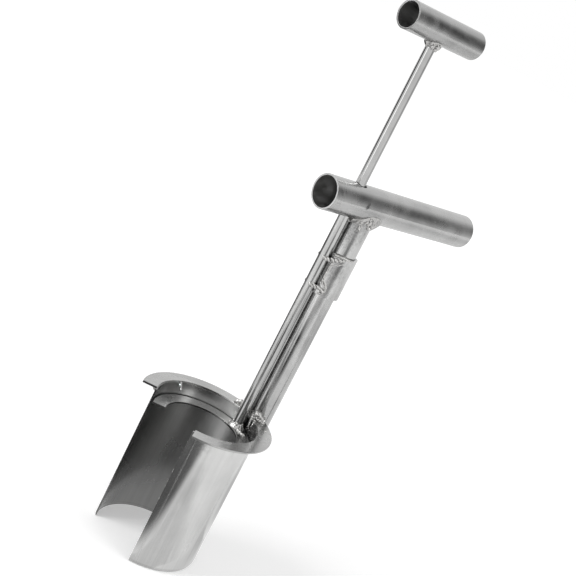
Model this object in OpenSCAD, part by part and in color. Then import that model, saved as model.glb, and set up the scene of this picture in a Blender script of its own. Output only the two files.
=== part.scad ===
// Barrel transplanter: a hand tool that lifts a young plant with a round plug of soil.
// A foot on the plate drives the barrel into the ground, and the plunger pushes the plug out again.
// Millimetres, +Z up. The origin is on the barrel's axis, in the plane of its cutting rim.
// The tool is symmetric about the YZ plane: its open front faces -Y and its handle stands at +Y.

/* [Barrel] */
// Outer diameter of the rolled barrel
barrel_od = 101.6; // [92:0.2:120]
// Wall thickness of the barrel
barrel_wall = 1.5; // [1.2:0.1:3]
// Height of the barrel below the foot plate
barrel_h = 139; // [120:1:170]
// Angle of the opening down the front of the barrel
barrel_gap = 81; // [60:1:86]
// Height of the bevel ground on the cutting rim
bevel_h = 3; // [1:0.5:6]
// Wall left at the cutting edge
bevel_land = 0.7; // [0.4:0.1:1.1]

/* [Foot plate] */
// Outer diameter of the foot plate
plate_od = 128; // [120:1:150]
// Thickness of the foot plate
plate_t = 2; // [1.5:0.5:5]
// How much of the barrel's rim the foot plate leaves bare inside
plate_step = 0.7; // [0.2:0.1:1.1]
// Angle of the opening in the foot plate
plate_gap = 85; // [60:1:100]
// Chamfer along the edges of the foot plate
plate_chamfer = 0.3; // [0.2:0.1:0.7]

/* [Handle tube] */
// Outer diameter of the handle tube
tube_od = 25.4; // [22:0.2:28]
// Wall thickness of the handle tube
tube_wall = 1.6; // [1:0.1:3]
// Height of the main grip's axis above the guide sleeve's upper end, with the plunger at rest
grip_rise = 50.5; // [42:0.5:80]
// Length of the handle tube that lies along the barrel, below the foot plate
tube_drop = 19; // [12:1:60]

/* [Main grip] */
// Outer diameter of the main grip
grip_od = 31.75; // [29:0.25:38]
// Wall thickness of the main grip
grip_wall = 1.5; // [1:0.1:3]
// Reach of the main grip in front of the handle tube
grip_front = 56.5; // [50:0.5:80]
// Reach of the main grip behind the handle tube
grip_back = 136.5; // [100:0.5:160]
// Diameter of the holes that the plunger rod runs through
rod_hole = 13; // [11:0.5:15]

/* [Plunger] */
// Diameter of the plunger rod
rod_d = 9.525; // [8:0.125:10]
// Gap between the plunger rod and the guide sleeve
rod_gap = 0.55; // [0.3:0.05:1]
// Gap left between the two grips with the plunger fully down
top_gap = 8; // [7:0.5:30]
// Outer diameter of the top grip
top_od = 25.4; // [22:0.2:32]
// Wall thickness of the top grip
top_wall = 1.5; // [1:0.1:3]
// Reach of the top grip in front of the rod
top_front = 41.5; // [30:0.5:60]
// Reach of the top grip behind the rod
top_back = 48; // [30:0.5:80]
// Depth of the ejector plate below the top of the foot plate, with the plunger at rest
rest_depth = 14; // [13.5:0.5:24]

/* [Guide sleeve] */
// Wall thickness of the guide sleeve
sleeve_wall = 2.35; // [1.5:0.05:3.5]
// Radial clearance between the guide sleeve and the handle tube
sleeve_clear = 0.35; // [0.1:0.05:0.6]
// Length of the guide sleeve
sleeve_l = 40.5; // [30:0.5:55]
// Gap left between the guide sleeve and the weld at the tube's foot with the plunger fully down
sleeve_gap = 1.5; // [1:0.5:10]

/* [Ejector plate] */
// Radial clearance between the ejector plate and the barrel
ejector_clear = 1.3; // [0.5:0.1:2]
// Width of the ejector plate's ring
ejector_w = 12.8; // [11:0.2:18]
// Thickness of the ejector plate
ejector_t = 2; // [1.5:0.5:4]
// Chamfer along the edges of the ejector plate
ejector_chamfer = 0.3; // [0.2:0.1:0.7]

/* [Stop pin] */
// Diameter of the stop pin
pin_d = 2.2; // [1.8:0.1:2.6]
// Diameter of the ball melted on the stop pin's end
pin_ball = 3.1; // [2.6:0.1:3.6]
// Length of the stop pin along its axis
pin_l = 9; // [7:0.1:9]
// Lean of the stop pin away from the barrel's wall
pin_lean = 38; // [25:1:45]
// Place of the stop pin round the barrel, from +X
pin_at = 179; // [165:1:195]

/* [Welds] */
// Root gap left between a weld bead and the curved faces it joins
weld_gap = 0.08; // [0.05:0.01:0.15]
// Leg of the fillet under the foot plate
rim_leg = 3.2; // [2:0.2:5]
// Depth of the beads that join the handle tube to the side of the barrel
seam_leg = 4.8; // [3:0.2:5]
// Reach of the neck weld along the underside of the main grip
neck_leg = 9; // [5:0.5:12]
// Height of the weld that climbs the handle tube at the foot plate
foot_leg = 8; // [4:0.5:9]
// Height of each weld between the guide sleeve and the plunger rod
sleeve_weld_h = 9; // [6:0.5:12]
// Distance of these welds from the sleeve's ends
sleeve_margin = 1.5; // [0.5:0.5:3]
// Leg of the fillets at both ends of the plunger rod
rod_leg = 3.8; // [2.5:0.1:5]

/* [Hidden] */
$fn = 96;

front = 270;
back = 90;
turn = 360;
cut = 1; // how far a cutter stands out of the piece it cuts
barrel_r = barrel_od/2;
bore_r = barrel_r - barrel_wall;
tube_r = tube_od/2;
grip_r = grip_od/2;
top_r = top_od/2;
rod_r = rod_d/2;
sleeve_r = tube_r + sleeve_clear + sleeve_wall;
plate_r = plate_od/2;

// Heights
plate_z = barrel_h + plate_t;
ejector_top = plate_z - rest_depth;
ejector_z = ejector_top - ejector_t;
stroke = ejector_z;
sleeve_z = plate_z + foot_leg + sleeve_gap + stroke;
grip_z = sleeve_z + sleeve_l + grip_rise;
top_z = grip_z + grip_r + stroke + top_gap + top_r;

// Axes of the handle tube and of the plunger rod, along Y
tube_y = barrel_r + tube_r + weld_gap;
rod_y = tube_y - sleeve_r - rod_gap - rod_r;
ejector_r = bore_r - ejector_clear;

// An annular sector: a profile in the XZ plane turned round Z, with the open part at the front
module turned_open(gap) {
    rotate([0, 0, front + gap/2]) rotate_extrude(angle = turn - gap) children();
}

// A rectangle from (x0, y0) to (x1, y1) with its corners cut by c
module chamfered(x0, y0, x1, y1, c) {
    polygon([[x0 + c, y0], [x1 - c, y0], [x1, y0 + c], [x1, y1 - c],
             [x1 - c, y1], [x0 + c, y1], [x0, y1 - c], [x0, y0 + c]]);
}

// A tube along Y, from y0 to y1, centred on height z
module cross_tube(r, wall, y0, y1, z) {
    translate([0, y0, z]) rotate([-90, 0, 0]) difference() {
        cylinder(r = r, h = y1 - y0);
        translate([0, 0, -cut]) cylinder(r = r - wall, h = y1 - y0 + 2*cut);
    }
}

// A solid skinned over rings of points; the last ring joins the first where closed
module skin(rings, closed = false) {
    n = len(rings);
    m = len(rings[0]);
    hub = floor(m/2);
    last = (n - 1)*m;
    spans = closed ? n : n - 1;
    sides = [for (i = [0:spans - 1]) for (j = [0:m - 1])
        let (a = i*m + j, b = i*m + (j + 1) % m, c = ((i + 1) % n)*m + (j + 1) % m, d = ((i + 1) % n)*m + j)
        each [[a, b, c], [a, c, d]]];
    fan = [for (j = [0:m - 1]) if (j != hub && (j + 1) % m != hub) [hub, j, (j + 1) % m]];
    caps = closed ? [] : [for (f = fan) each [[f[0], f[2], f[1]], [last + f[0], last + f[1], last + f[2]]]];
    polyhedron(points = [for (ring = rings) each ring], faces = concat(sides, caps));
}

function unit(v) = v/norm(v);

// One section of a fillet bead: its root, its toes a and b, the point under toe b and a crowned face
function bead(root, a, b, under, crown) =
    let (out = unit((a + b)/2 - root))
    [root, a, for (t = [0.25, 0.5, 0.75]) a + (b - a)*t + out*crown*sin(180*t), b, under];

// Height of the underside of a cross tube of radius r at height z, beside its axis by x
function belly(x, r, z) = z - sqrt(r*r - x*x);

// Ripples left along a bead: one for each step of the welder's hand
function ripple(i, step) = 1 + 0.35*pow(cos(180*i/step), 2);

// A bead in the corner between an upright bar at (0, y) of radius r and a cross tube above it
function saddle_bead(y, r, cross_r, cross_z, a, leg_a, leg_b, crown) =
    let (r1 = r + weld_gap, r2 = cross_r + weld_gap, c = cos(a), s = sin(a),
         at = function (d, z) [(r1 + d)*c, y + (r1 + d)*s, z],
         up = function (d) belly((r1 + d)*c, r2, cross_z))
    bead(at(0, up(0)), at(0, up(0) - leg_a), at(leg_b, up(leg_b)), at(leg_b/2, up(leg_b/2)), crown);

// A bead in the corner between an upright bar at (0, y) of radius r and a flat face below it
function flat_bead(y, r, z, a, leg_a, leg_b, crown) =
    let (r1 = r + weld_gap, at = function (d, h) [(r1 + d)*cos(a), y + (r1 + d)*sin(a), z + h])
    bead(at(0, 0), at(leg_b, 0), at(0, leg_a), at(0, leg_a/2), crown);

module barrel() {
    color("silver") turned_open(barrel_gap) polygon([
        [bore_r, 0], [bore_r + bevel_land, 0], [barrel_r, bevel_h],
        [barrel_r, barrel_h], [bore_r, barrel_h]]);
}

module foot_plate() {
    color("lightgray") difference() {
        turned_open(plate_gap)
            chamfered(bore_r + plate_step, barrel_h, plate_r, plate_z, plate_chamfer);
        translate([0, tube_y, barrel_h - cut]) cylinder(r = tube_r + weld_gap, h = plate_t + 2*cut);
    }
}

module handle_tube() {
    foot_z = barrel_h - tube_drop;
    color("silver") difference() {
        translate([0, tube_y, foot_z]) cylinder(r = tube_r, h = grip_z - foot_z);
        translate([0, tube_y, foot_z - cut]) cylinder(r = tube_r - tube_wall, h = grip_z - foot_z + 2*cut);
        translate([0, tube_y - tube_r - cut, grip_z]) rotate([-90, 0, 0])
            cylinder(r = grip_r + weld_gap, h = tube_od + 2*cut);
    }
}

module main_grip() {
    color("lightgray") difference() {
        cross_tube(grip_r, grip_wall, tube_y - grip_front, tube_y + grip_back, grip_z);
        translate([0, rod_y, grip_z - grip_r - cut]) cylinder(d = rod_hole, h = grip_od + 2*cut);
    }
}

// The pin hangs from the inner edge of the foot plate and leans inwards over the ejector plate
module pin_axis() {
    seat = 0.1;
    root_depth = 0.5;
    rotate([0, 0, pin_at]) translate([bore_r + plate_step - pin_d/2 - seat, 0, plate_z - root_depth])
        rotate([0, 180 + pin_lean, 0]) children();
}

module stop_pin() {
    color("gainsboro") pin_axis() {
        cylinder(d = pin_d, h = pin_l - pin_ball/2, $fn = 32);
        translate([0, 0, pin_l - pin_ball/2]) sphere(d = pin_ball, $fn = 32);
    }
}

module stop_pin_weld() {
    spot_r = 2.1;
    spot_at = 3.2;
    behind = 1;
    color("darkgray") intersection() {
        pin_axis() difference() {
            translate([-behind, 0, spot_at]) sphere(r = spot_r, $fn = 32);
            translate([0, 0, -spot_r]) cylinder(d = pin_d + 2*weld_gap, h = 4*spot_r, $fn = 32);
        }
        translate([0, 0, barrel_h - 3*spot_r]) cylinder(r = bore_r - weld_gap, h = 6*spot_r);
    }
}

module plunger_rod() {
    color("silver") difference() {
        translate([0, rod_y, ejector_top]) cylinder(r = rod_r, h = top_z - ejector_top);
        translate([0, rod_y - rod_r - cut, top_z]) rotate([-90, 0, 0])
            cylinder(r = top_r + weld_gap, h = rod_d + 2*cut);
    }
}

module top_grip() {
    color("lightgray") cross_tube(top_r, top_wall, rod_y - top_front, rod_y + top_back, top_z);
}

module guide_sleeve() {
    color("silver") translate([0, tube_y, sleeve_z]) difference() {
        cylinder(r = sleeve_r, h = sleeve_l);
        translate([0, 0, -cut]) cylinder(r = tube_r + sleeve_clear, h = sleeve_l + 2*cut);
    }
}

module ejector_plate() {
    color("gray") turned_open(barrel_gap)
        chamfered(ejector_r - ejector_w, ejector_z, ejector_r, ejector_top, ejector_chamfer);
}

// The fillet between the barrel and the underside of the foot plate, on both sides of the tube
module rim_weld() {
    steps = 44;
    end_trim = 1.5;
    crown = 0.5;
    from = front - turn + plate_gap/2 + end_trim;
    to = back - 1.25*asin(tube_r/tube_y);
    color("darkgray") for (side = [0, 1]) mirror([side, 0, 0])
        skin([for (i = [0:steps])
            let (a = from + (to - from)*i/steps, leg = rim_leg*(0.8 + 0.2*ripple(i, 2)),
                 at = function (r, z) [r*cos(a), r*sin(a), z],
                 r0 = barrel_r + weld_gap)
            bead(at(r0, barrel_h), at(r0, barrel_h - leg), at(r0 + leg, barrel_h), at(r0 + leg/2, barrel_h),
                 crown*ripple(i, 2))]);
}

// The bead on top of the foot plate, low where the tube meets the rim and piled up at its sides
module foot_weld() {
    steps = 44;
    from = 196;
    to = 344;
    side_leg = 4.6;
    least = 0.3;
    room = tube_y - tube_r - (bore_r + plate_step) - 2*weld_gap;
    color("darkgray") skin([for (i = [0:steps])
        let (a = from + (to - from)*i/steps, s = pow(abs(cos(a)), 1.5),
             leg = max(least, room - least)*(1 - s) + side_leg*s,
             high = foot_leg*(0.62 + 0.28*ripple(i, 3)*abs(sin(a))))
        flat_bead(tube_y, tube_r, plate_z, a, high, leg, 0.3 + 0.5*ripple(i, 3)*s)]);
}

// An upright bead in the groove between the barrel and the tube, below the foot plate
module seam_weld(side) {
    steps = 36;
    inner = 2.5;
    crown = 0.6;
    z0 = barrel_h - tube_drop + 1.5;
    z1 = barrel_h - rim_leg - 2.5;
    barrel_y = function (x) sqrt(pow(barrel_r + weld_gap, 2) - x*x);
    near_y = function (x) tube_y - sqrt(pow(tube_r + weld_gap, 2) - x*x);
    color("darkgray") mirror([side < 0 ? 1 : 0, 0, 0]) skin([for (i = [0:steps])
        let (z = z0 + (z1 - z0)*i/steps, x = inner + seam_leg*ripple(i, 4)/1.35)
        bead([inner, barrel_y(inner), z], [x, barrel_y(x), z], [x, near_y(x), z],
             [(x + inner)/2, near_y((x + inner)/2), z], crown)]);
}

// The big fillet in the corner of the T, drawn out along the grip behind the tube
module neck_weld() {
    steps = 60;
    crown = 0.35;
    side_leg = min(0.27*neck_leg, 0.92*(grip_r - tube_r));
    front_leg = 0.18*neck_leg;
    color("darkgray") skin([for (i = [0:steps - 1])
        let (a = turn*i/steps, s = sin(a),
             leg = side_leg + (s > 0 ? neck_leg - side_leg : front_leg - side_leg)*s*s,
             high = neck_leg*(0.4 + 0.45*max(0, s) + 0.07*ripple(i, 3)))
        saddle_bead(tube_y, tube_r, grip_r, grip_z, a, high, leg, crown*ripple(i, 3))], closed = true);
}

// Drops of weld laid across from the rod to the face of the guide sleeve, on both sides
module sleeve_weld(z0) {
    drop_r = 2.9;
    rows = 3;
    near = 0.9*rod_r;
    reach = 9;
    crown = 0.6;
    rod_side = rod_y + 2.2;
    color("darkgray") difference() {
        for (side = [-1, 1]) for (row = [0:rows - 1]) for (t = [0, 0.5, 1])
            let (x = near + (reach - near)*t,
                 y = rod_side*(1 - t) + (tube_y - sqrt(sleeve_r*sleeve_r - x*x))*t - crown*sin(180*t))
            translate([side*x, y, z0 + sleeve_weld_h*(row + 0.5)/rows])
                sphere(r = drop_r*(1 - 0.2*t), $fn = 24);
        translate([0, rod_y, z0 - drop_r]) cylinder(r = rod_r + weld_gap, h = sleeve_weld_h + 2*drop_r);
        translate([0, tube_y, z0 - drop_r]) cylinder(r = sleeve_r + weld_gap, h = sleeve_weld_h + 2*drop_r);
    }
}

// The fillet round the rod's foot, open towards the barrel's wall where there is no room
module rod_foot_weld() {
    steps = 32;
    from = 168;
    to = 372;
    color("darkgray") skin([for (i = [0:steps])
        let (a = from + (to - from)*i/steps, leg = rod_leg*(0.55 + 0.45*abs(sin(a))))
        flat_bead(rod_y, rod_r, ejector_top, a, rod_leg*(0.9 + 0.2*ripple(i, 2)), leg, 0.45*ripple(i, 2))]);
}

module rod_top_weld() {
    steps = 40;
    crown = 0.4;
    color("darkgray") skin([for (i = [0:steps - 1]) let (a = turn*i/steps)
        saddle_bead(rod_y, rod_r, top_r, top_z, a, rod_leg*(0.9 + 0.2*ripple(i, 2)),
                    rod_leg*(0.85 + 0.25*abs(sin(a))), crown*ripple(i, 2))], closed = true);
}

barrel();
foot_plate();
handle_tube();
main_grip();
stop_pin();
plunger_rod();
top_grip();
guide_sleeve();
ejector_plate();
rim_weld();
foot_weld();
seam_weld(-1);  // seam_weld_left
seam_weld(1);  // seam_weld_right
neck_weld();
stop_pin_weld();
sleeve_weld(sleeve_z + sleeve_l - sleeve_weld_h - sleeve_margin);  // sleeve_weld_upper
sleeve_weld(sleeve_z + sleeve_margin);  // sleeve_weld_lower
rod_foot_weld();
rod_top_weld();
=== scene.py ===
"""Looks for the barrel transplanter: stainless tube, sheet and plate, joined by hand-laid welds.

The tubes, the sheet and the plates keep their CAD shapes and get bare steel finishes. Each weld that shows
is laid again as drops of metal, melted into one skin. Soft cards that only reflections see stand in for the
room.
"""

import math
import random

import bmesh
import bpy
import numpy as np
from mathutils import Matrix, Vector, noise


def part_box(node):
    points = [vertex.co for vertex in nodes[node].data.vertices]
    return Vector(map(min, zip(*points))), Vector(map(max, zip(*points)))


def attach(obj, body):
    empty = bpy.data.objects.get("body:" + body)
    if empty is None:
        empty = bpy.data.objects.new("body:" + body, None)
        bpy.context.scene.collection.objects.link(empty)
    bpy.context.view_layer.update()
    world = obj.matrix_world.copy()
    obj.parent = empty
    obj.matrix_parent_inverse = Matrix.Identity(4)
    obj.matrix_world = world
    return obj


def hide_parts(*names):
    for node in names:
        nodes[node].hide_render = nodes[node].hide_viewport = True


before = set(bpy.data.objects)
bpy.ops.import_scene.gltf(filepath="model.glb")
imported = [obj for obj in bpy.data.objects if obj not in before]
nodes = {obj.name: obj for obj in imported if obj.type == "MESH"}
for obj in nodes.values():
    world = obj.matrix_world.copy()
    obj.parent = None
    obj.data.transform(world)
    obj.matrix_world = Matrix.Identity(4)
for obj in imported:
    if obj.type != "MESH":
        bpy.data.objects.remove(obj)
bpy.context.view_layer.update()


# Sizes and places, in millimetres. The barrel stands on the ground, with its axis at (0, 0). A bearing is in
# degrees round an upright axis, from X towards Y.

MM = 0.001
BARREL_WALL = 1.5
TUBE_WALL = 1.6
GRIP_WALL = 1.5
TOP_WALL = 1.5
EJECTOR_CLEAR = 1.3     # between the barrel's bore and the ejector plate
EJECTOR_W = 12.8        # width of the ejector plate's ring
OPENING_EDGE = -49.5    # bearing of the right-hand edge of the barrel's opening


def middle(node):
    """Middle of a node's box, in metres."""
    low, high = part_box(node)
    return [(a + b) / 2 for a, b in zip(low, high)]


def upright(node):
    """Axis and radius of an upright bar or tube."""
    low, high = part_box(node)
    x, y, _ = middle(node)
    return Vector((x, y, 0)) / MM, (high[0] - low[0]) / 2 / MM


def level(node):
    """Height of the axis and radius of a level tube."""
    low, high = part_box(node)
    return middle(node)[2] / MM, (high[2] - low[2]) / 2 / MM


def foot_and_top(node):
    """Heights of a node's foot and top."""
    low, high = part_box(node)
    return low[2] / MM, high[2] / MM


TUBE_AT, TUBE_R = upright("handle_tube")
ROD_AT, ROD_R = upright("plunger_rod")
SLEEVE_AT, SLEEVE_R = upright("guide_sleeve")
GRIP_Z, GRIP_R = level("main_grip")
TOP_Z, TOP_R = level("top_grip")
SLEEVE_FOOT, SLEEVE_TOP = foot_and_top("guide_sleeve")
PLATE_FOOT, PLATE_TOP = foot_and_top("foot_plate")
EJECTOR_TOP = foot_and_top("ejector_plate")[1]
BARREL_AT = Vector((0, 0, 0))
BARREL_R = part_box("barrel")[1][0] / MM
BORE_R = BARREL_R - BARREL_WALL
RING_HOLE_R = BORE_R - EJECTOR_CLEAR - EJECTOR_W


def beside(centre, radius, bearing, height):
    """The point at that radius and bearing from an upright axis."""
    angle = math.radians(bearing)
    return Vector((centre[0] + radius * math.cos(angle), centre[1] + radius * math.sin(angle), height))


# Shader helpers

def feed(tree, value, socket):
    """Links value to an input where it is a socket, and otherwise sets the input to it."""
    if isinstance(value, bpy.types.NodeSocket):
        tree.links.new(value, socket)
    else:
        socket.default_value = value


def put(tree, kind, **settings):
    """Adds a node of that kind. Each setting is a property of it or else an input, with _ for a space."""
    node = tree.nodes.new(kind)
    for name, value in settings.items():
        if hasattr(node, name):
            setattr(node, name, value)
        else:
            feed(tree, value, node.inputs[name.replace("_", " ")])
    return node


def sums(tree, how, first, second=0.0):
    """first and second, each a socket or a number, joined by a Math node."""
    node = put(tree, "ShaderNodeMath", operation=how)
    feed(tree, first, node.inputs[0])
    feed(tree, second, node.inputs[1])
    return node.outputs[0]


def vectors(tree, how, first, second=(0.0, 0.0, 0.0)):
    """first and second, each a socket or a vector, joined by a Vector Math node: a vector, or a number where
    how measures one."""
    node = put(tree, "ShaderNodeVectorMath", operation=how)
    feed(tree, first, node.inputs[0])
    feed(tree, second, node.inputs[1])
    return node.outputs["Value" if how in ("DISTANCE", "DOT_PRODUCT", "LENGTH") else "Vector"]


def mapped(tree, source, span, result, ramp="LINEAR"):
    """source rescaled from the limits of span to those of result, and held inside them."""
    node = put(tree, "ShaderNodeMapRange", clamp=True, interpolation_type=ramp, Value=source,
               From_Min=span[0], From_Max=span[1], To_Min=result[0], To_Max=result[1])
    return node.outputs["Result"]


def place_on(tree):
    """The shaded point's own place, in metres."""
    return put(tree, "ShaderNodeTexCoord").outputs["Object"]


def facing_of(tree):
    """The way that the shaded surface faces."""
    return put(tree, "ShaderNodeTexCoord").outputs["Normal"]


def along_axis(tree, vector, axis):
    """A vector's part along one axis."""
    return put(tree, "ShaderNodeSeparateXYZ", Vector=vector).outputs[axis]


def noise_at(tree, place, **settings):
    """A noise texture's value at a place."""
    return put(tree, "ShaderNodeTexNoise", Vector=place, **settings).outputs["Fac"]


def stretched_noise(tree, place, cycles, detail, rough):
    """Noise with so many cycles a metre along each axis."""
    stretch = put(tree, "ShaderNodeMapping", Vector=place, Scale=cycles)
    return noise_at(tree, stretch.outputs["Vector"], Scale=1.0, Detail=detail, Roughness=rough)


def group(name, inputs, outputs):
    """A new shader group: inputs are (name, default) pairs, and outputs the names of its masks."""
    tree = bpy.data.node_groups.new(name, "ShaderNodeTree")
    for label, default in inputs:
        kind = "NodeSocketVector" if isinstance(default, tuple) else "NodeSocketFloat"
        socket = tree.interface.new_socket(label, in_out="INPUT", socket_type=kind)
        socket.default_value = default
    for label in outputs:
        tree.interface.new_socket(label, in_out="OUTPUT", socket_type="NodeSocketFloat")
    return tree, tree.nodes.new("NodeGroupInput"), tree.nodes.new("NodeGroupOutput")


# Shared shader groups

NOISE_SPAN = (0.3, 0.7)     # nearly all of a noise texture's values lie between these
MASK_SPAN = (0.0, 1.0)


def make_mill_grain():
    """Fine lines left by drawing or rolling, and a few long scratches. The inputs are the lines' cycles a
    metre along each axis."""
    tree, given, result = group("mill_grain", [("Along X", 60.0), ("Along Y", 60.0), ("Along Z", 60.0)],
                                ["Lines", "Scratches"])
    cycles = put(tree, "ShaderNodeCombineXYZ")
    for axis in "XYZ":
        tree.links.new(given.outputs["Along " + axis], cycles.inputs[axis])
    place = vectors(tree, "MULTIPLY", place_on(tree), cycles.outputs["Vector"])
    lines = noise_at(tree, place, Scale=1.0, Detail=3.0, Roughness=0.6)
    long = noise_at(tree, place, Scale=0.35, Detail=2.0, Roughness=0.5)
    tree.links.new(lines, result.inputs["Lines"])
    tree.links.new(mapped(tree, long, (0.66, 0.70), MASK_SPAN), result.inputs["Scratches"])
    return tree


def make_handling():
    """Smudges, scuffs and small dents from use. Size is the smudges' cycles a metre."""
    tree, given, result = group("handling", [("Size", 30.0)], ["Smudge", "Scuff", "Dent"])
    place = place_on(tree)
    smudge = noise_at(tree, place, Scale=given.outputs["Size"], Detail=3.0, Roughness=0.5, Distortion=0.6)
    specks = stretched_noise(tree, place, (420, 420, 300), 6.0, 0.75)
    tree.links.new(smudge, result.inputs["Smudge"])
    tree.links.new(mapped(tree, specks, (0.6, 0.72), MASK_SPAN), result.inputs["Scuff"])
    tree.links.new(stretched_noise(tree, place, (75, 75, 40), 2.0, 0.4), result.inputs["Dent"])
    return tree


def make_heat_tint_and_shade():
    """Heat tint round a weld, also used as painted shade: 1 at Place, fading out raggedly at Reach, both in
    metres.
    """
    tree, given, result = group("heat_tint_and_shade_spot", [("Place", (0.0, 0.0, 0.0)), ("Reach", 0.01)], ["Stain"])
    place = place_on(tree)
    away = vectors(tree, "DISTANCE", place, given.outputs["Place"])
    share = sums(tree, "DIVIDE", away, given.outputs["Reach"])
    ragged = mapped(tree, stretched_noise(tree, place, (260, 260, 260), 4.0, 0.6), NOISE_SPAN, (-0.3, 0.3))
    falloff = mapped(tree, sums(tree, "ADD", share, ragged), (0.3, 1.0), (1.0, 0.0))
    mottled = mapped(tree, stretched_noise(tree, place, (560, 560, 560), 3.0, 0.6), (0.4, 0.6), (0.45, 1.0))
    tree.links.new(sums(tree, "MULTIPLY", falloff, mottled), result.inputs["Stain"])
    return tree


GRAIN = make_mill_grain()
HANDLING = make_handling()
HEAT_TINT_AND_SHADE = make_heat_tint_and_shade()


# Finishes

MIX_FIRST, MIX_SECOND, MIX_RESULT = 6, 7, 2     # a Mix node's colour sockets, whose names repeat
LINE_TINT = (0.95, 1.05)        # how far the grain's lines vary the colour
ROUGH_SPREAD = (0.75, 1.3)      # and how far the smudges vary the roughness
SCUFF_DULLS = 0.05              # roughness that a scuff adds
SCRATCH_DULLS = 0.12            # and that a scratch adds
SCRATCH_DEEP = 0.6              # a scratch's depth, where the lines' height is 1
BUMP_HIGH = 0.2 * MM


def steel(name, colour, rough, grain, depth, smudge_size, tint, shades=(), dulled=(), dents=4.0):
    """Stainless steel with mill grain. grain holds the lines' cycles a metre along X, Y and Z, and depth is
    the strength of their bump. What each of shades gives multiplies the colour, and what each of dulled gives
    is added to the roughness."""
    mat = bpy.data.materials.new(name)
    mat.use_nodes = True
    tree = mat.node_tree
    metal = tree.nodes["Principled BSDF"]
    metal.inputs["Metallic"].default_value = 1.0
    lines = put(tree, "ShaderNodeGroup", node_tree=GRAIN)
    for axis, value in zip("XYZ", grain):
        lines.inputs["Along " + axis].default_value = value
    use = put(tree, "ShaderNodeGroup", node_tree=HANDLING, Size=smudge_size)

    shade = mapped(tree, use.outputs["Smudge"], NOISE_SPAN, (1.0 - tint, 1.0 + tint))
    shade = sums(tree, "MULTIPLY", shade, mapped(tree, lines.outputs["Lines"], NOISE_SPAN, LINE_TINT))
    for work in shades:
        shade = sums(tree, "MULTIPLY", shade, work(tree))
    paint = put(tree, "ShaderNodeMix", data_type="RGBA", blend_type="MULTIPLY", Factor=1.0)
    paint.inputs[MIX_FIRST].default_value = (*colour, 1.0)
    tree.links.new(shade, paint.inputs[MIX_SECOND])
    tree.links.new(paint.outputs[MIX_RESULT], metal.inputs["Base Color"])

    gloss = mapped(tree, use.outputs["Smudge"], NOISE_SPAN, [rough * share for share in ROUGH_SPREAD])
    gloss = sums(tree, "ADD", gloss, sums(tree, "MULTIPLY", use.outputs["Scuff"], SCUFF_DULLS))
    gloss = sums(tree, "ADD", gloss, sums(tree, "MULTIPLY", lines.outputs["Scratches"], SCRATCH_DULLS))
    for work in dulled:
        gloss = sums(tree, "ADD", gloss, work(tree))
    tree.links.new(gloss, metal.inputs["Roughness"])

    height = sums(tree, "ADD", lines.outputs["Lines"], sums(tree, "MULTIPLY", use.outputs["Dent"], dents))
    height = sums(tree, "SUBTRACT", height, sums(tree, "MULTIPLY", lines.outputs["Scratches"], SCRATCH_DEEP))
    bump = put(tree, "ShaderNodeBump", Strength=depth, Distance=BUMP_HIGH, Height=height)
    tree.links.new(bump.outputs["Normal"], metal.inputs["Normal"])
    return mat


def off_axis(tree, along, centre):
    """Distance from a line that runs along an axis through centre, in metres."""
    across = [0.0 if axis == along else 1.0 for axis in "XYZ"]
    away = vectors(tree, "SUBTRACT", place_on(tree), centre)
    return vectors(tree, "LENGTH", vectors(tree, "MULTIPLY", away, across))


def in_bore(along, centre, bore, inside, outside):
    """One value inside a bore and another outside it, changing a little way into the wall. Added to the
    roughness it dulls the bore; multiplying the colour it is painted shade inside the bore."""
    edge = [(bore + past) * MM for past in (0.2, 0.5)]

    def work(tree):
        return mapped(tree, off_axis(tree, along, centre), edge, (inside, outside))
    return work


def barrel_inside_painted_shade(tree):
    """Painted shade on the barrel's inside, a little darker near its rim."""
    inside = in_bore("Z", BARREL_AT, BORE_R, inside=1.0, outside=0.0)(tree)
    height = along_axis(tree, place_on(tree), "Z")
    shade_by_height = mapped(tree, height, (10 * MM, 65 * MM), (0.61, 0.63))
    return sums(tree, "ADD", 1.0, sums(tree, "MULTIPLY", inside, sums(tree, "SUBTRACT", shade_by_height, 1.0)))


def rim_bevel_painted_shade(tree):
    """Painted shade on the cutting rim's ground bevel, to offset the bright floor it reflects."""
    return mapped(tree, along_axis(tree, place_on(tree), "Z"), (2.8 * MM, 3.4 * MM), (0.84, 1.0))


def ground_ends_and_painted_highlight(axis, shade):
    """Lighter on the ends square to an axis: partly bare metal that a saw and a grinder left, partly a
    painted highlight.
    """
    def work(tree):
        square = sums(tree, "ABSOLUTE", along_axis(tree, facing_of(tree), axis))
        return mapped(tree, square, (0.9, 0.95), (1.0, shade))
    return work


def cut_faces_painted_shade(tree):
    """Painted shade on the upright cut faces beside an opening."""
    round_barrel = vectors(tree, "CROSS_PRODUCT", (0, 0, 1), vectors(tree, "NORMALIZE", place_on(tree)))
    square = sums(tree, "ABSOLUTE", vectors(tree, "DOT_PRODUCT", facing_of(tree), round_barrel))
    return mapped(tree, square, (0.15, 0.3), (1.0, 0.3))


def fold_scale_and_painted_shade(tree):
    """Darker down in the folds of a weld: partly the scale that stays there, partly painted shade in the
    hollows.
    """
    deep = put(tree, "ShaderNodeVertexColor", layer_name="Folds")
    return mapped(tree, deep.outputs["Color"], MASK_SPAN, (1.0, 0.25))


def heat_tint_and_painted_shade(place, reach, shade):
    """Darker round a weld or a pit at place, as far as reach; in places it is painted shade."""
    def work(tree):
        metres = [value * MM for value in place]
        tint_and_shade = put(tree, "ShaderNodeGroup", node_tree=HEAT_TINT_AND_SHADE, Place=metres, Reach=reach * MM)
        return mapped(tree, tint_and_shade.outputs["Stain"], MASK_SPAN, (1.0, shade))
    return work


TUBE_COLOUR = (0.44, 0.44, 0.437)
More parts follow.
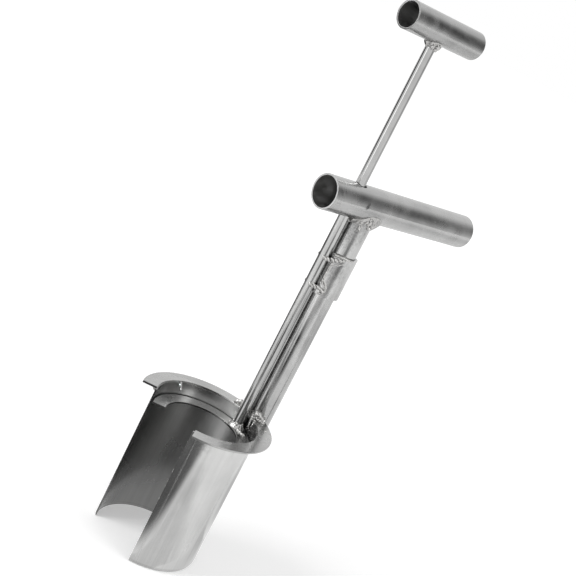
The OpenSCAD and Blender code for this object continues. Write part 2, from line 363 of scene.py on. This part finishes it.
# Painted shade: the top grip is the main grip's tube, coloured darker
TOP_GRIP_SHADED_COLOUR = (0.40, 0.40, 0.397)
BAR_COLOUR = (0.42, 0.42, 0.417)
SHEET_COLOUR = (0.58, 0.58, 0.575)
PLATE_COLOUR = (0.43, 0.43, 0.425)
WELD_COLOUR = (0.55, 0.595, 0.585)
MELTED_COLOUR = (0.51, 0.505, 0.495)

# Burnt marks: a pit in the main grip with its tail, and specks on the foot plate by x, y, reach and shade
GRIP_PIT = (15.84, 47.5, GRIP_Z + 1.1)
GRIP_PIT_TAIL = (15.5, 48.8, GRIP_Z + 3.6)
PLATE_SPECKS = ((-19.8, 43.9, 1.1, 0.25), (-17.5, 46.2, 0.9, 0.3), (-23.0, 41.0, 0.8, 0.4))
HOLE_TRIM = 0.1     # keeps the painted shade of the ejector plate's hole off its flat top

upright_tube = steel(
    "drawn_tube_upright", TUBE_COLOUR, rough=0.14, grain=(900, 900, 14), depth=0.08, smudge_size=34,
    tint=0.12, shades=[
        # Painted shade inside the tube's bore
        in_bore("Z", middle("handle_tube"), TUBE_R - TUBE_WALL, inside=0.35, outside=1.0),
        heat_tint_and_painted_shade(beside(TUBE_AT, TUBE_R, -50, PLATE_TOP + 6), reach=16, shade=0.78),
        # Painted shade: the rod's reflection and shadow, dark on the tube's front below the main grip
        heat_tint_and_painted_shade(beside(TUBE_AT, TUBE_R, -78, GRIP_Z - GRIP_R - 6), reach=24, shade=0.5)])
sleeve_tube = steel(
    "sleeve_tube", TUBE_COLOUR, rough=0.16, grain=(700, 700, 20), depth=0.08, smudge_size=60, tint=0.14,
    # Partly heat tint from the upper weld, partly painted shade for a dark reflection band
    shades=[heat_tint_and_painted_shade(beside(SLEEVE_AT, SLEEVE_R, -48, SLEEVE_TOP - 14), reach=17, shade=0.62)])
level_tube = steel(
    "main_grip_tube", TUBE_COLOUR, rough=0.25, grain=(260, 5, 260), depth=0.02, smudge_size=34,
    tint=0.12, shades=[
        # Lighter ends: ground finish and painted highlight
        ground_ends_and_painted_highlight("Y", 1.6),
        heat_tint_and_painted_shade(GRIP_PIT, reach=2.9, shade=0.15),
        heat_tint_and_painted_shade(GRIP_PIT_TAIL, reach=2.2, shade=0.4),
        heat_tint_and_painted_shade(beside(TUBE_AT, TUBE_R + 3, -20, GRIP_Z - GRIP_R + 4), reach=19, shade=0.84)],
    dulled=[in_bore("Y", middle("main_grip"), GRIP_R - GRIP_WALL, inside=0.15, outside=0.0)], dents=1.0)
short_tube = steel(
    "top_grip_tube", TOP_GRIP_SHADED_COLOUR, rough=0.25, grain=(260, 5, 260), depth=0.02, smudge_size=34,
    tint=0.12, shades=[
        # Lighter ends: ground finish and painted highlight
        ground_ends_and_painted_highlight("Y", 1.6),
        heat_tint_and_painted_shade(beside(ROD_AT, ROD_R, -30, TOP_Z - TOP_R), reach=9, shade=0.75)],
    dulled=[in_bore("Y", middle("top_grip"), TOP_R - TOP_WALL, inside=0.15, outside=0.0)], dents=1.0)
round_bar = steel(
    "round_bar", BAR_COLOUR, rough=0.1, grain=(900, 900, 20), depth=0.08, smudge_size=60, tint=0.08,
    shades=[heat_tint_and_painted_shade(beside(ROD_AT, 0, 0, EJECTOR_TOP), reach=9, shade=0.7)])
rolled_sheet = steel(
    "rolled_sheet", SHEET_COLOUR, rough=0.15, grain=(300, 300, 6), depth=0.012, smudge_size=18,
    tint=0.10, shades=[
        # Painted shade inside the barrel, on the rim's bevel and on the opening's cut faces
        barrel_inside_painted_shade, rim_bevel_painted_shade, cut_faces_painted_shade,
        heat_tint_and_painted_shade(beside(TUBE_AT, TUBE_R, -62, PLATE_TOP - 4), reach=24, shade=0.72),
        heat_tint_and_painted_shade(beside(BARREL_AT, BARREL_R, -36, PLATE_FOOT - 6), reach=14, shade=0.75)],
    dulled=[in_bore("Z", BARREL_AT, BORE_R, inside=0.13, outside=0.0)], dents=6.0)
cut_plate = steel(
    "cut_plate", PLATE_COLOUR, rough=0.24, grain=(300, 60, 300), depth=0.08, smudge_size=30,
    tint=0.12, shades=[
        # Painted shade on the plates' open ends
        cut_faces_painted_shade,
        # Painted shade inside the ejector plate's hole
        in_bore("Z", BARREL_AT, RING_HOLE_R - HOLE_TRIM, inside=0.3, outside=1.0),
        heat_tint_and_painted_shade(beside(TUBE_AT, TUBE_R + 6, -55, PLATE_TOP), reach=24, shade=0.75),
        *[heat_tint_and_painted_shade((x, y, PLATE_TOP), reach, shade) for x, y, reach, shade in PLATE_SPECKS]])
weld_metal = steel(
    "weld_metal", WELD_COLOUR, rough=0.12, grain=(120, 120, 120), depth=0.06, smudge_size=160, tint=0.12)
melted_metal = steel(
    "melted_metal", MELTED_COLOUR, rough=0.29, grain=(120, 120, 120), depth=0.06, smudge_size=160,
    # Dark folds: scale, and painted shade in the hollows
    tint=0.12, shades=[fold_scale_and_painted_shade])

FINISHES = {
    upright_tube: ("handle_tube",),
    sleeve_tube: ("guide_sleeve",),
    level_tube: ("main_grip",),
    short_tube: ("top_grip",),
    round_bar: ("plunger_rod", "stop_pin"),
    rolled_sheet: ("barrel",),
    cut_plate: ("foot_plate", "ejector_plate"),
    weld_metal: ("rim_weld", "foot_weld", "seam_weld_left", "seam_weld_right", "neck_weld", "stop_pin_weld",
                 "sleeve_weld_upper", "sleeve_weld_lower", "rod_foot_weld", "rod_top_weld"),
}
for finish, names in FINISHES.items():
    for name in names:
        for slot in nodes[name].material_slots:
            slot.material = finish


# Welds: drops laid along each run and melted into one skin, in millimetres

FOLD_DEPTH = 0.012 * MM     # a point this far below its neighbours lies in a fold, at its darkest
SINK = 0.7                  # a bead's skin may lie this far inside the upright tube or bar under it
LEVEL_SINK = 0.6            # and this far inside a level tube or a plate
GRIT_COARSE, GRIT_FINE = 0.9, 2.3       # cycles a millimetre of the roughness on a bead's skin


def drop(bm, place, size, facing=(0, 0, 1)):
    """One drop of weld metal. Its three half sizes are across, up and along facing."""
    turn = Vector(facing).to_track_quat("Z", "Y").to_matrix().to_4x4()
    bmesh.ops.create_icosphere(bm, subdivisions=2, radius=1.0,
                               matrix=Matrix.Translation(place) @ turn @ Matrix.Diagonal((*size, 1.0)))


def run(bm, dice, points, wide, step=1.1, thick=0.62, scatter=0.25):
    """Drops laid a step apart through points, flattened along the run, as a welder's hand leaves them."""
    for start, end in zip(points, points[1:]):
        way = end - start
        count = max(1, round(way.length / step))
        for i in range(count):
            size = wide * dice.uniform(0.82, 1.15)
            off = Vector([dice.uniform(-scatter, scatter) for _ in "XYZ"])
            drop(bm, start + way * (i / count) + off, (size, size, size * thick), way)


def spatter(bm, dice, places, small=0.3, large=0.65):
    """Sparks that stuck where they fell."""
    for place in places:
        size = dice.uniform(small, large)
        drop(bm, place, (size, size * dice.uniform(0.8, 1.2), size * 0.8))


def points_round(centre, radius, base, places):
    """Points at one radius from an upright axis. Each of places is a bearing and a rise from base."""
    return [beside(centre, radius, bearing, base + rise) for bearing, rise in places]


def strewn(dice, count, centre, radius, bearings, base, rises):
    """So many points at one radius from an upright axis, between two bearings and two rises from base."""
    return [beside(centre, radius, dice.uniform(*bearings), base + dice.uniform(*rises))
            for _ in range(count)]


def seam_height(height, radius, post, bearing):
    """Height at which an upright post's skin, at a bearing, meets the underside of a level tube."""
    return height - math.sqrt(radius ** 2 - (post * math.cos(math.radians(bearing))) ** 2)


def clear_of(point, centre, radius):
    """point, moved out to radius from an upright axis if it lies nearer."""
    away = Vector((point.x - centre[0], point.y - centre[1], 0))
    if away.length < radius:
        point = point + away.normalized() * (radius - away.length)
    return point


def clear_of_level(point, height, radius):
    """point, moved out to radius from a level tube's axis if it lies nearer."""
    away = Vector((point.x, 0, point.z - height))
    if away.length < radius:
        point = point + away.normalized() * (radius - away.length)
    return point


def within(point, radius):
    """point, moved in to radius from the barrel's axis if it lies farther out."""
    away = Vector((point.x, point.y, 0))
    if away.length > radius:
        point = point - away.normalized() * (away.length - radius)
    return point


def mark_folds(mesh):
    """Writes how deep each point lies in a fold, from 0 to 1, as the colour attribute Folds."""
    places = np.array([vertex.co for vertex in mesh.vertices])
    normals = np.array([vertex.normal for vertex in mesh.vertices])
    edges = np.array([edge.vertices for edge in mesh.edges])
    count = np.bincount(edges.ravel(), minlength=len(places)).clip(1)

    def spread(values):
        total = np.zeros_like(values)
        np.add.at(total, edges[:, 0], values[edges[:, 1]])
        np.add.at(total, edges[:, 1], values[edges[:, 0]])
        return total / count.reshape([-1] + [1] * (values.ndim - 1))
    deep = ((spread(places) - places) * normals).sum(axis=1) / FOLD_DEPTH
    for _ in range(2):
        deep = (deep + spread(deep)) / 2
    deep = deep.clip(0, 1)
    folds = mesh.color_attributes.new("Folds", "FLOAT_COLOR", "POINT")
    folds.data.foreach_set("color", np.stack([deep, deep, deep, np.ones_like(deep)], axis=1).ravel())


def melt(name, bm, body, replaced, keep, copied=(), voxel=0.36, grit=0.1, pits=(), flow=2):
    """Melts the drops, and the copied solids, into one weld that rides on body. keep says where metal may
    lie, grit how rough its skin is, and flow how far the drops run together. Each of pits is a place, a reach
    and a depth."""
    bm.transform(Matrix.Scale(MM, 4))
    for node in copied:
        bm.from_mesh(nodes[node].data)
    mesh = bpy.data.meshes.new(name + "_drops")
    bm.to_mesh(mesh)
    bm.free()
    drops = bpy.data.objects.new(name + "_drops", mesh)
    bpy.context.scene.collection.objects.link(drops)
    skin = drops.modifiers.new("skin", "REMESH")
    skin.mode = "VOXEL"
    skin.voxel_size = voxel * MM
    settle = drops.modifiers.new("settle", "SMOOTH")
    settle.factor = 0.5
    settle.iterations = flow
    whole = bpy.data.meshes.new_from_object(drops.evaluated_get(bpy.context.evaluated_depsgraph_get()))
    bpy.data.objects.remove(drops)
    points = [vertex.co / MM for vertex in whole.vertices]
    normals = [vertex.normal.copy() for vertex in whole.vertices]
    for i, (point, normal) in enumerate(zip(points, normals)):
        rise = grit * (noise.noise(point * GRIT_COARSE) + 0.6 * noise.noise(point * GRIT_FINE))
        for place, reach, depth in pits:
            near = (point - Vector(place)).length / reach
            if near < 1:
                rise -= depth * (1 - near * near)
        points[i] = keep(point + normal * rise) * MM
    whole.vertices.foreach_set("co", np.array(points).ravel())
    mark_folds(whole)
    whole.name = name
    whole.materials.clear()
    whole.materials.append(melted_metal)
    for face in whole.polygons:
        face.use_smooth = True
    weld = bpy.data.objects.new(name, whole)
    bpy.context.scene.collection.objects.link(weld)
    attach(weld, body)
    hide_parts(*replaced)


def foot_bead():
    """The weld at the tube's foot: a proud blob at the left, and folds at the right that spill over the
    rim."""
    bm = bmesh.new()
    dice = random.Random(4)
    high_fold = points_round(TUBE_AT, TUBE_R + 1.0, PLATE_TOP,
                             ((-18, 1.2), (-34, 3.4), (-47, 6.6), (-58, 7.4), (-66, 5.0)))
    long_spill = points_round(BARREL_AT, BORE_R + 0.9, PLATE_TOP, ((82.5, 1.5), (82.0, -3.0), (80.5, -9.0)))
    run(bm, dice, high_fold + long_spill, wide=1.9, step=1.7, thick=0.55, scatter=0.15)
    # Blobs that fill the corner behind the folds, by bearing, rise and size
    for bearing, rise, size in ((-30, 2.6, 2.6), (-44, 5.0, 2.9), (-56, 5.2, 3.2), (-66, 2.4, 2.8),
                                (-60, 0.6, 3.0)):
        place = beside(TUBE_AT, TUBE_R + 0.8, bearing, PLATE_TOP + rise)
        drop(bm, place, (size, size, 3.4), (0.1, -0.15, 1.0))
    low_fold = points_round(TUBE_AT, TUBE_R + 2.6, PLATE_TOP,
                            ((-22, 0.4), (-36, 1.2), (-50, 2.8), (-62, 1.0)))
    run(bm, dice, low_fold, wide=1.9, step=1.8, thick=0.55, scatter=0.15)
    short_spill = points_round(BARREL_AT, BORE_R + 1.0, PLATE_TOP, ((76, 0.8), (75.5, -3.0), (76.5, -7.0)))
    run(bm, dice, short_spill, wide=1.6, step=1.6, thick=0.6, scatter=0.1)
    proud = points_round(TUBE_AT, TUBE_R + 1.5, PLATE_TOP,
                         ((-156, 0.6), (-148, 2.2), (-140, 3.4), (-131, 3.2), (-124, 1.4)))
    run(bm, dice, proud, wide=1.9, step=1.8, thick=0.55, scatter=0.15)
    # The proud blob's tail along the plate, by x, y, rise and width
    for x, y, rise, wide in ((-9.5, 53.6, 1.6, 2.4), (-12.9, 51.6, 2.8, 3.2), (-16.4, 50.2, 2.6, 3.0),
                             (-19.4, 48.4, 1.0, 2.0)):
        drop(bm, Vector((x, y, PLATE_TOP + rise)), (2.3, wide, 4.0), (0.35, 0.3, 1.0))
    drop(bm, (27.7, 51.3, PLATE_TOP), (1.7, 1.3, 0.9))
    sparks = strewn(dice, 12, BARREL_AT, BORE_R, (58, 84), PLATE_TOP, (-3.5, -12))
    sparks += strewn(dice, 5, TUBE_AT, TUBE_R, (-75, -20), PLATE_TOP, (6, 9))
    sparks += [beside(TUBE_AT, dice.uniform(TUBE_R + 3, TUBE_R + 9), dice.uniform(-60, -25), PLATE_TOP)
               for _ in range(8)]
    spatter(bm, dice, sparks)

    def keep(point):
        point = clear_of(point, TUBE_AT, TUBE_R - SINK)
        point.z = min(point.z, PLATE_TOP + 9.0)
        if point.z < PLATE_TOP + 1.5:
            point = clear_of(point, BARREL_AT, BORE_R - 0.75)
        return clear_of(point, ROD_AT, ROD_R + 0.5)
    melt("foot_bead", bm, "frame", ["foot_weld"], keep, ["foot_weld"], flow=6)


def neck_bead():
    """The weld in the corner of the T, lumpy and pitted at the right and smooth behind."""
    bm = bmesh.new()
    dice = random.Random(7)
    for _ in range(15):
        bearing = dice.uniform(-40, 16)
        seam = seam_height(GRIP_Z, GRIP_R, TUBE_R, bearing)
        size = dice.uniform(1.5, 2.7)
        drop(bm, beside(TUBE_AT, TUBE_R + dice.uniform(-0.9, 0.2), bearing, seam - dice.uniform(0.5, 11)),
             (size, size * 0.8, size * 1.4), (dice.uniform(-1, 1), dice.uniform(-1, 1), 1))
    spatter(bm, dice, strewn(dice, 8, TUBE_AT, TUBE_R, (-60, 20), GRIP_Z - GRIP_R, (-2, -16)))
    pits = [(beside(TUBE_AT, TUBE_R + 1.2, bearing, GRIP_Z - fall), reach, 1.9)
            for bearing, fall, reach in ((2, 15, 1.7), (11, 18.8, 1.7), (-33, 18.5, 1.5))]

    def keep(point):
        point = clear_of(point, TUBE_AT, TUBE_R - SINK)
        point = clear_of_level(point, GRIP_Z, GRIP_R - LEVEL_SINK)
        return clear_of(point, ROD_AT, ROD_R + 1.2)
    melt("neck_bead", bm, "frame", ["neck_weld"], keep, ["neck_weld"], pits=pits, flow=4)


def sleeve_bead(name, node, low, path, lips):
    """Slanted folds laid from the rod's face across to the sleeve, on both sides, the first of them at the
    right alone, with lips of metal along the sleeve. path holds places as an axis ("rod" or "sleeve"), a rise
    from its face, a bearing and a height above low. Each of lips is a width and its places on the sleeve."""
    bm = bmesh.new()
    dice = random.Random(int(low))
    axes = {"rod": (ROD_AT, ROD_R), "sleeve": (SLEEVE_AT, SLEEVE_R)}
    lengths = (3.3, 3.3, 3.0, 2.6, 1.9, 1.3)

    def at(side, axis, rise, bearing, height):
        centre, radius = axes[axis]
        point = beside(centre, radius + rise, bearing, low + height)
        return Vector((side * point.x, point.y, point.z))
    for side in (1, -1):
        for i, (long, place) in enumerate(zip(lengths, path)):
            slant = Vector((side * -0.60, -0.57, 0.54)) + Vector([dice.uniform(-0.1, 0.1) for _ in "XYZ"])
            if side > 0 or i > 0:
                drop(bm, at(side, *place), (1.8, 1.75, long), slant)
        for wide, lip in lips:
            points = [at(side, "sleeve", *place) for place in lip]
            run(bm, dice, points, wide, step=0.5, thick=0.9, scatter=0.03)
        spatter(bm, dice, [at(side, "rod", 0.1, 25, -8.5), at(side, "rod", 0.1, 30, 11.0)], 0.5, 0.8)

    def keep(point):
        point = clear_of(point, ROD_AT, ROD_R - SINK)
        point.z = min(max(point.z, SLEEVE_FOOT + 0.3), SLEEVE_TOP + 2.0)
        # Past the sleeve's top the metal stays clear of the tube that the sleeve slides on
        near = TUBE_R + 0.6 if point.z > SLEEVE_TOP - 0.5 else SLEEVE_R - 0.8
        return clear_of(point, SLEEVE_AT, near)
    melt(name, bm, "plunger", [node], keep, grit=0.04, flow=3)


def rod_foot_bead():
    """Folds that run down the rod's foot and out over the ejector plate."""
    bm = bmesh.new()
    dice = random.Random(9)
    for bearing in range(-200, 21, 24):
        reach = dice.uniform(2.8, 4.4)
        high = dice.uniform(3.2, 5.6)
        lean = bearing + dice.uniform(-12, 12)
        fold = [beside(ROD_AT, ROD_R + 0.1, bearing, EJECTOR_TOP + high),
                beside(ROD_AT, ROD_R + 1.1, (bearing + lean) / 2, EJECTOR_TOP + high * 0.45),
                beside(ROD_AT, ROD_R + reach, lean, EJECTOR_TOP + 0.2)]
        run(bm, dice, fold, wide=1.05, step=0.7, thick=0.9, scatter=0.08)
    tongue = [Vector((x, y, EJECTOR_TOP + rise))
              for x, y, rise in ((7.0, 39.8, 0.3), (12.5, 40.0, 0.1), (17.0, 41.2, -0.2))]
    run(bm, dice, tongue, wide=1.3)
    spatter(bm, dice, [beside(ROD_AT, dice.uniform(8, 13), dice.uniform(-170, -10), EJECTOR_TOP)
                       for _ in range(9)])

    def keep(point):
        point = clear_of(point, ROD_AT, ROD_R - SINK)
        point.z = max(point.z, EJECTOR_TOP - LEVEL_SINK)
        return within(point, BORE_R - 1.5)
    melt("rod_foot_bead", bm, "plunger", ["rod_foot_weld"], keep, ["rod_foot_weld"], flow=4)


def rod_top_bead():
    """Drops that climb from the rod to the top grip's underside, each by a bearing, a fall and a reach."""
    bm = bmesh.new()
    dice = random.Random(11)
    for bearing, fall, reach in ((-130, 2.6, 1.2), (-100, 3.6, 1.0), (-62, 2.4, 1.5), (-30, 4.6, 2.0),
                                 (8, 5.6, 2.6), (45, 4.8, 2.4), (90, 3.6, 1.8), (140, 3.2, 1.6),
                                 (180, 3.6, 1.4)):
        seam = seam_height(TOP_Z, TOP_R, ROD_R, bearing)
        climb = [beside(ROD_AT, ROD_R, bearing, seam - fall),
                 beside(ROD_AT, ROD_R + reach, bearing, seam - 0.4)]
        run(bm, dice, climb, wide=1.7, step=0.8, thick=0.9, scatter=0.1)

    def keep(point):
        point = clear_of(point, ROD_AT, ROD_R - SINK)
        return clear_of_level(point, TOP_Z, TOP_R - LEVEL_SINK)
    melt("rod_top_bead", bm, "plunger", ["rod_top_weld"], keep, ["rod_top_weld"], flow=7)


def rim_bead():
    """The fillet under the foot plate, rougher where it shows at the plate's right end, and the burrs that
    the saw left down the opening's edge."""
    bm = bmesh.new()
    dice = random.Random(13)
    for _ in range(16):
        size = dice.uniform(0.9, 1.7)
        drop(bm, beside(BARREL_AT, BARREL_R + dice.uniform(0.0, 1.4), dice.uniform(-45, -28),
                        PLATE_FOOT - dice.uniform(0.5, 3.6)), (size * 1.3, size, size))
    spatter(bm, dice, strewn(dice, 10, BARREL_AT, BARREL_R, (-35, -20), PLATE_FOOT, (-4, -12)))
    burrs = [dice.uniform(62, PLATE_FOOT - 4) for _ in range(26)]
    for height in burrs:
        size = dice.uniform(0.4, 0.7)
        place = beside(BARREL_AT, BARREL_R - 0.5, OPENING_EDGE + dice.uniform(0.0, 0.7), height)
        drop(bm, place, (size, size, size * 1.8))

    def keep(point):
        point.z = min(point.z, PLATE_FOOT + 0.4)
        return clear_of(point, BARREL_AT, BARREL_R - 1.4)
    melt("rim_bead", bm, "frame", ["rim_weld"], keep, ["rim_weld"], voxel=0.45)


foot_bead()
neck_bead()
sleeve_bead("sleeve_bead_upper", "sleeve_weld_upper", SLEEVE_TOP - 6.5,
            [("rod", 0.1, -30, 0.0), ("rod", 1.0, 6, 0.2), ("sleeve", 1.3, -66, 0.6),
             ("sleeve", 0.8, -54, 1.6), ("sleeve", 0.2, -42, 3.0), ("sleeve", -0.2, -32, 4.0)],
            [(1.5, [(-0.6, -66, 5.4), (-0.5, -50, 5.8), (-0.8, -36, 6.0), (-1.0, -18, 5.7), (-1.1, 0, 5.5)]),
             (0.9, [(-0.5, -58, -3.8), (-0.55, -44, -2.4), (-0.6, -30, 0.4), (-0.75, -14, 2.6)]),
             (1.9, [(-1.0, -64, -3.0), (-1.2, -66, -9.0), (-1.3, -67, -16.0), (-1.2, -66, -22.0)])])
sleeve_bead("sleeve_bead_lower", "sleeve_weld_lower", SLEEVE_FOOT + 6.5,
            [("rod", 0.1, -30, 0.0), ("rod", 1.0, 6, 0.2), ("sleeve", 1.1, -67, -0.3),
             ("sleeve", 0.6, -57, -1.0), ("sleeve", 0.0, -50, -2.2)],
            [(1.2, [(-0.5, -63, 7.4), (-0.5, -52, 5.6), (-0.5, -44, 2.0), (-0.5, -43, -1.6),
                    (-0.6, -50, -4.6), (-0.6, -62, -5.6)]),
             (1.0, [(-0.5, -62, 4.6), (-0.45, -53, 3.2), (-0.45, -48, 0.8), (-0.5, -50, -2.0),
                    (-0.5, -58, -3.6)])])
rod_foot_bead()
rod_top_bead()
rim_bead()


# Stage, in metres

WHITE = (1, 1, 1, 1)
FLOOR_WIDE = 60.0
FLOOR_DROP = 0.4 * MM       # the floor lies this far under the cutting rim
CARD_STEP = 0.1 * MM        # between cards that lie over each other on the floor
CARD_EDGE = (0.98, 1.0)     # a card turns clear between these shares of its half size
CARDS_FROM = Vector((0, 0.04, 0))       # the middle of the floor's cards and of the low walls
WALL_FAR, WALL_HIGH = 2.6, 1.6
ROOM_LIGHT = 0.62           # the backdrop's light on the tool, where it looks 1
LAMPS_AIM = Vector((0, 0.03, 0.2))


def flat(name, wide, long, material):
    """A flat rectangle, centred on its own origin."""
    corners = [(a * wide / 2, b * long / 2, 0) for a, b in ((-1, -1), (1, -1), (1, 1), (-1, 1))]
    mesh = bpy.data.meshes.new(name)
    mesh.from_pydata(corners, [], [(0, 1, 2, 3)])
    mesh.materials.append(material)
    obj = bpy.data.objects.new(name, mesh)
    bpy.context.scene.collection.objects.link(obj)
    return obj


def seen_directly(tree):
    """1 for rays that show the background: from the camera, or by way of a gloss or through glass."""
    path = put(tree, "ShaderNodeLightPath")
    both = sums(tree, "MAXIMUM", path.outputs["Is Camera Ray"], path.outputs["Is Glossy Ray"])
    return sums(tree, "MAXIMUM", both, path.outputs["Is Transmission Ray"])


def make_floor():
    """A pale floor that reads as white where it is fully lit and keeps the tool's shadow."""
    mat = bpy.data.materials.new("pale_floor")
    mat.use_nodes = True
    tree = mat.node_tree
    paint = tree.nodes["Principled BSDF"]
    paint.inputs["Base Color"].default_value = (0.8, 0.8, 0.8, 1)
    paint.inputs["Roughness"].default_value = 1.0
    paint.inputs["Specular IOR Level"].default_value = 0.0
    paint.inputs["Emission Color"].default_value = WHITE
    # It glows more with distance, where the lamps' light falls off
    glow = mapped(tree, vectors(tree, "LENGTH", place_on(tree)), (0.3, 2.0), (0.30, 0.62))
    tree.links.new(sums(tree, "MULTIPLY", glow, seen_directly(tree)), paint.inputs["Emission Strength"])
    floor = flat("floor", FLOOR_WIDE, FLOOR_WIDE, mat)
    floor.location.z = -FLOOR_DROP


def make_world():
    """A white backdrop all round, whose light on the tool is weaker than it looks."""
    world = bpy.data.worlds.new("white_sweep")
    world.use_nodes = True
    tree = world.node_tree
    back = tree.nodes["Background"]
    back.inputs["Color"].default_value = WHITE
    tree.links.new(mapped(tree, seen_directly(tree), MASK_SPAN, (ROOM_LIGHT, 1.0)), back.inputs["Strength"])
    bpy.context.scene.world = world


def soft_lamp(name, watts, size, spot):
    """A rectangular lamp at spot, turned to the tool."""
    lamp = bpy.data.lights.new(name, "AREA")
    lamp.shape = "RECTANGLE"
    lamp.size, lamp.size_y = size
    lamp.energy = watts
    obj = bpy.data.objects.new(name, lamp)
    obj.location = spot
    obj.rotation_euler = (LAMPS_AIM - Vector(spot)).to_track_quat("-Z", "Y").to_euler()
    bpy.context.scene.collection.objects.link(obj)


# The camera stands where the photo was taken from. From what it looks at, it lies at a bearing and a rise,
# and the picture is turned by a tilt about its line of sight.
CAMERA_AT = Vector((0.6704, -0.6822, 0.5382))
CAMERA_BEARING = math.radians(-46.36)
CAMERA_RISE = math.radians(15.28)
CAMERA_TILT = math.radians(26.92)
CAMERA_LENS = 71.36
CAMERA_SENSOR = 36.0


def make_camera():
    """The scene's camera, at the photo's viewing angle."""
    cam = bpy.data.cameras.new("camera")
    cam.sensor_width = CAMERA_SENSOR
    cam.lens = CAMERA_LENS
    obj = bpy.data.objects.new("camera", cam)
    back = Vector((math.cos(CAMERA_RISE) * math.cos(CAMERA_BEARING),
                   math.cos(CAMERA_RISE) * math.sin(CAMERA_BEARING), math.sin(CAMERA_RISE)))
    untilted = Vector((0, 0, 1)).cross(back).normalized()
    steep = back.cross(untilted)
    right = untilted * math.cos(CAMERA_TILT) + steep * math.sin(CAMERA_TILT)
    up = back.cross(right)
    turn = Matrix((right, up, back)).transposed()
    obj.matrix_world = Matrix.Translation(CAMERA_AT) @ turn.to_4x4()
    bpy.context.scene.collection.objects.link(obj)
    bpy.context.scene.camera = obj


def room_card(name, centre, facing, across, width, height, glow, core=0.0, square=False):
    """A soft-edged card that only reflections see, as the dark and lit parts of the room. across is its
    level edge, glow how bright it is, and core the share of it that is fully so. It is an oval unless it is
    square."""
    mat = bpy.data.materials.new(name)
    mat.use_nodes = True
    tree = mat.node_tree
    tree.nodes.remove(tree.nodes["Principled BSDF"])
    place = vectors(tree, "DIVIDE", place_on(tree), (width / 2, height / 2, 1))
    if square:
        reach = sums(tree, "MAXIMUM", sums(tree, "ABSOLUTE", along_axis(tree, place, "X")),
                     sums(tree, "ABSOLUTE", along_axis(tree, place, "Y")))
    else:
        reach = vectors(tree, "LENGTH", place)
    faded = mapped(tree, reach, (core, 1.0), (glow, 1.0), "SMOOTHSTEP")
    light = put(tree, "ShaderNodeEmission", Color=WHITE, Strength=faded)
    open_air = put(tree, "ShaderNodeBsdfTransparent")
    outside = mapped(tree, reach, CARD_EDGE, MASK_SPAN)
    mix = put(tree, "ShaderNodeMixShader")
    for source, socket in zip((outside, light.outputs[0], open_air.outputs[0]), mix.inputs):
        tree.links.new(source, socket)
    tree.links.new(mix.outputs[0], tree.nodes["Material Output"].inputs["Surface"])

    card = flat(name, width, height, mat)
    look = Vector(facing).normalized()
    side = (Vector(across) - look * look.dot(Vector(across))).normalized()
    turn = Matrix((side, look.cross(side), look)).transposed()
    card.matrix_world = Matrix.Translation(centre) @ turn.to_4x4()
    card.visible_camera = False
    card.visible_diffuse = False
    card.visible_shadow = False


def floor_card(name, bearing, reach, turn, long, wide, glow, core, lift, square=False):
    """A card on the floor at a bearing and a reach from the barrel, its long side turned to another bearing.
    Of two that overlap, the one with more lift hides the other."""
    spot = beside(CARDS_FROM, reach, bearing, lift * CARD_STEP)
    room_card(name, spot, (0, 0, 1), beside(BARREL_AT, 1, turn, 0), long, wide, glow, core, square)


def wall_card(name, bearing, wide, glow, core):
    """A low wall round the floor's edge, which only the upper rod reflects."""
    way = beside(BARREL_AT, 1, bearing, 0)
    spot = way * WALL_FAR + CARDS_FROM + Vector((0, 0, 0.1))
    room_card(name, spot, -way, (way.y, -way.x, 0), wide, WALL_HIGH, glow, core, square=True)


make_floor()
make_world()
make_camera()

# A tall card to the tool's right, leaning towards it
SIDE_WAY = Vector((0.552, 0.698, 0.456))
SIDE_SPOT = Vector((0, 0.05, 0.3)) + SIDE_WAY * 1.6
room_card("dark_side_wall", SIDE_SPOT, -SIDE_WAY, (0.698, -0.552, 0), width=2.0, height=3.3, glow=0.03)

# Each: name, bearing, reach, turn, long, wide, glow, core, lift
floor_card("dark_front_floor", -52, 0.68, -52, 0.66, 0.84, 0.0, 0.3, 3)
floor_card("dark_far_front_floor", -22, 1.35, -22, 1.2, 1.05, 0.1, 0.1, 2)
floor_card("dark_left_floor", 172, 1.35, 172, 2.4, 2.0, 0.0, 0.6, 2)
floor_card("dark_far_left_floor", -144, 1.45, -144, 1.6, 0.8, 0.2, 0.3, 4)
floor_card("lit_floor", -70.6, 1.26, -83, 1.5, 0.26, 2.0, 0.3, 5)
floor_card("dim_front_floor", -23.3, 0.18, -10, 0.32, 0.13, 0.7, 0.3, 6)
floor_card("dim_near_floor", -37, 0.126, 14, 0.15, 0.09, 0.78, 0.8, 7, square=True)
floor_card("dark_near_floor", -55, 0.294, -12, 0.40, 0.25, 0.12, 0.64, 8, square=True)
floor_card("dim_inner_floor", -90, 0.04, 0, 0.0985, 0.0985, 0.42, 0.97, 14)
floor_card("dim_right_floor", 59, 0.092, 90, 0.28, 0.07, 0.68, 0.2, 9)
floor_card("dim_back_floor", 97, 0.16, 108, 0.26, 0.16, 0.62, 0.3, 10)
floor_card("dim_far_right_floor", 42, 0.86, 132, 1.2, 0.5, 0.78, 0.3, 11)
floor_card("dark_right_line", 37, 0.47, 37, 0.36, 0.07, 0.25, 0.3, 12)
floor_card("dim_far_back_floor", 88, 0.86, 178, 1.3, 0.6, 0.72, 0.3, 13)

# Each: name, bearing, width, glow, core
wall_card("dark_left_wall", -144, 2.0, 0.0, 0.5)
wall_card("lit_front_wall", -86, 0.8, 3.0, 0.3)
wall_card("dark_right_wall", 45, 1.3, 0.1, 0.2)

soft_lamp("key_lamp", 22, (1.0, 1.0), (-0.6, -1.5, 1.6))
soft_lamp("fill_lamp", 10, (1.2, 0.8), (1.8, 0.6, 1.2))

bpy.context.scene.view_settings.view_transform = "Standard"
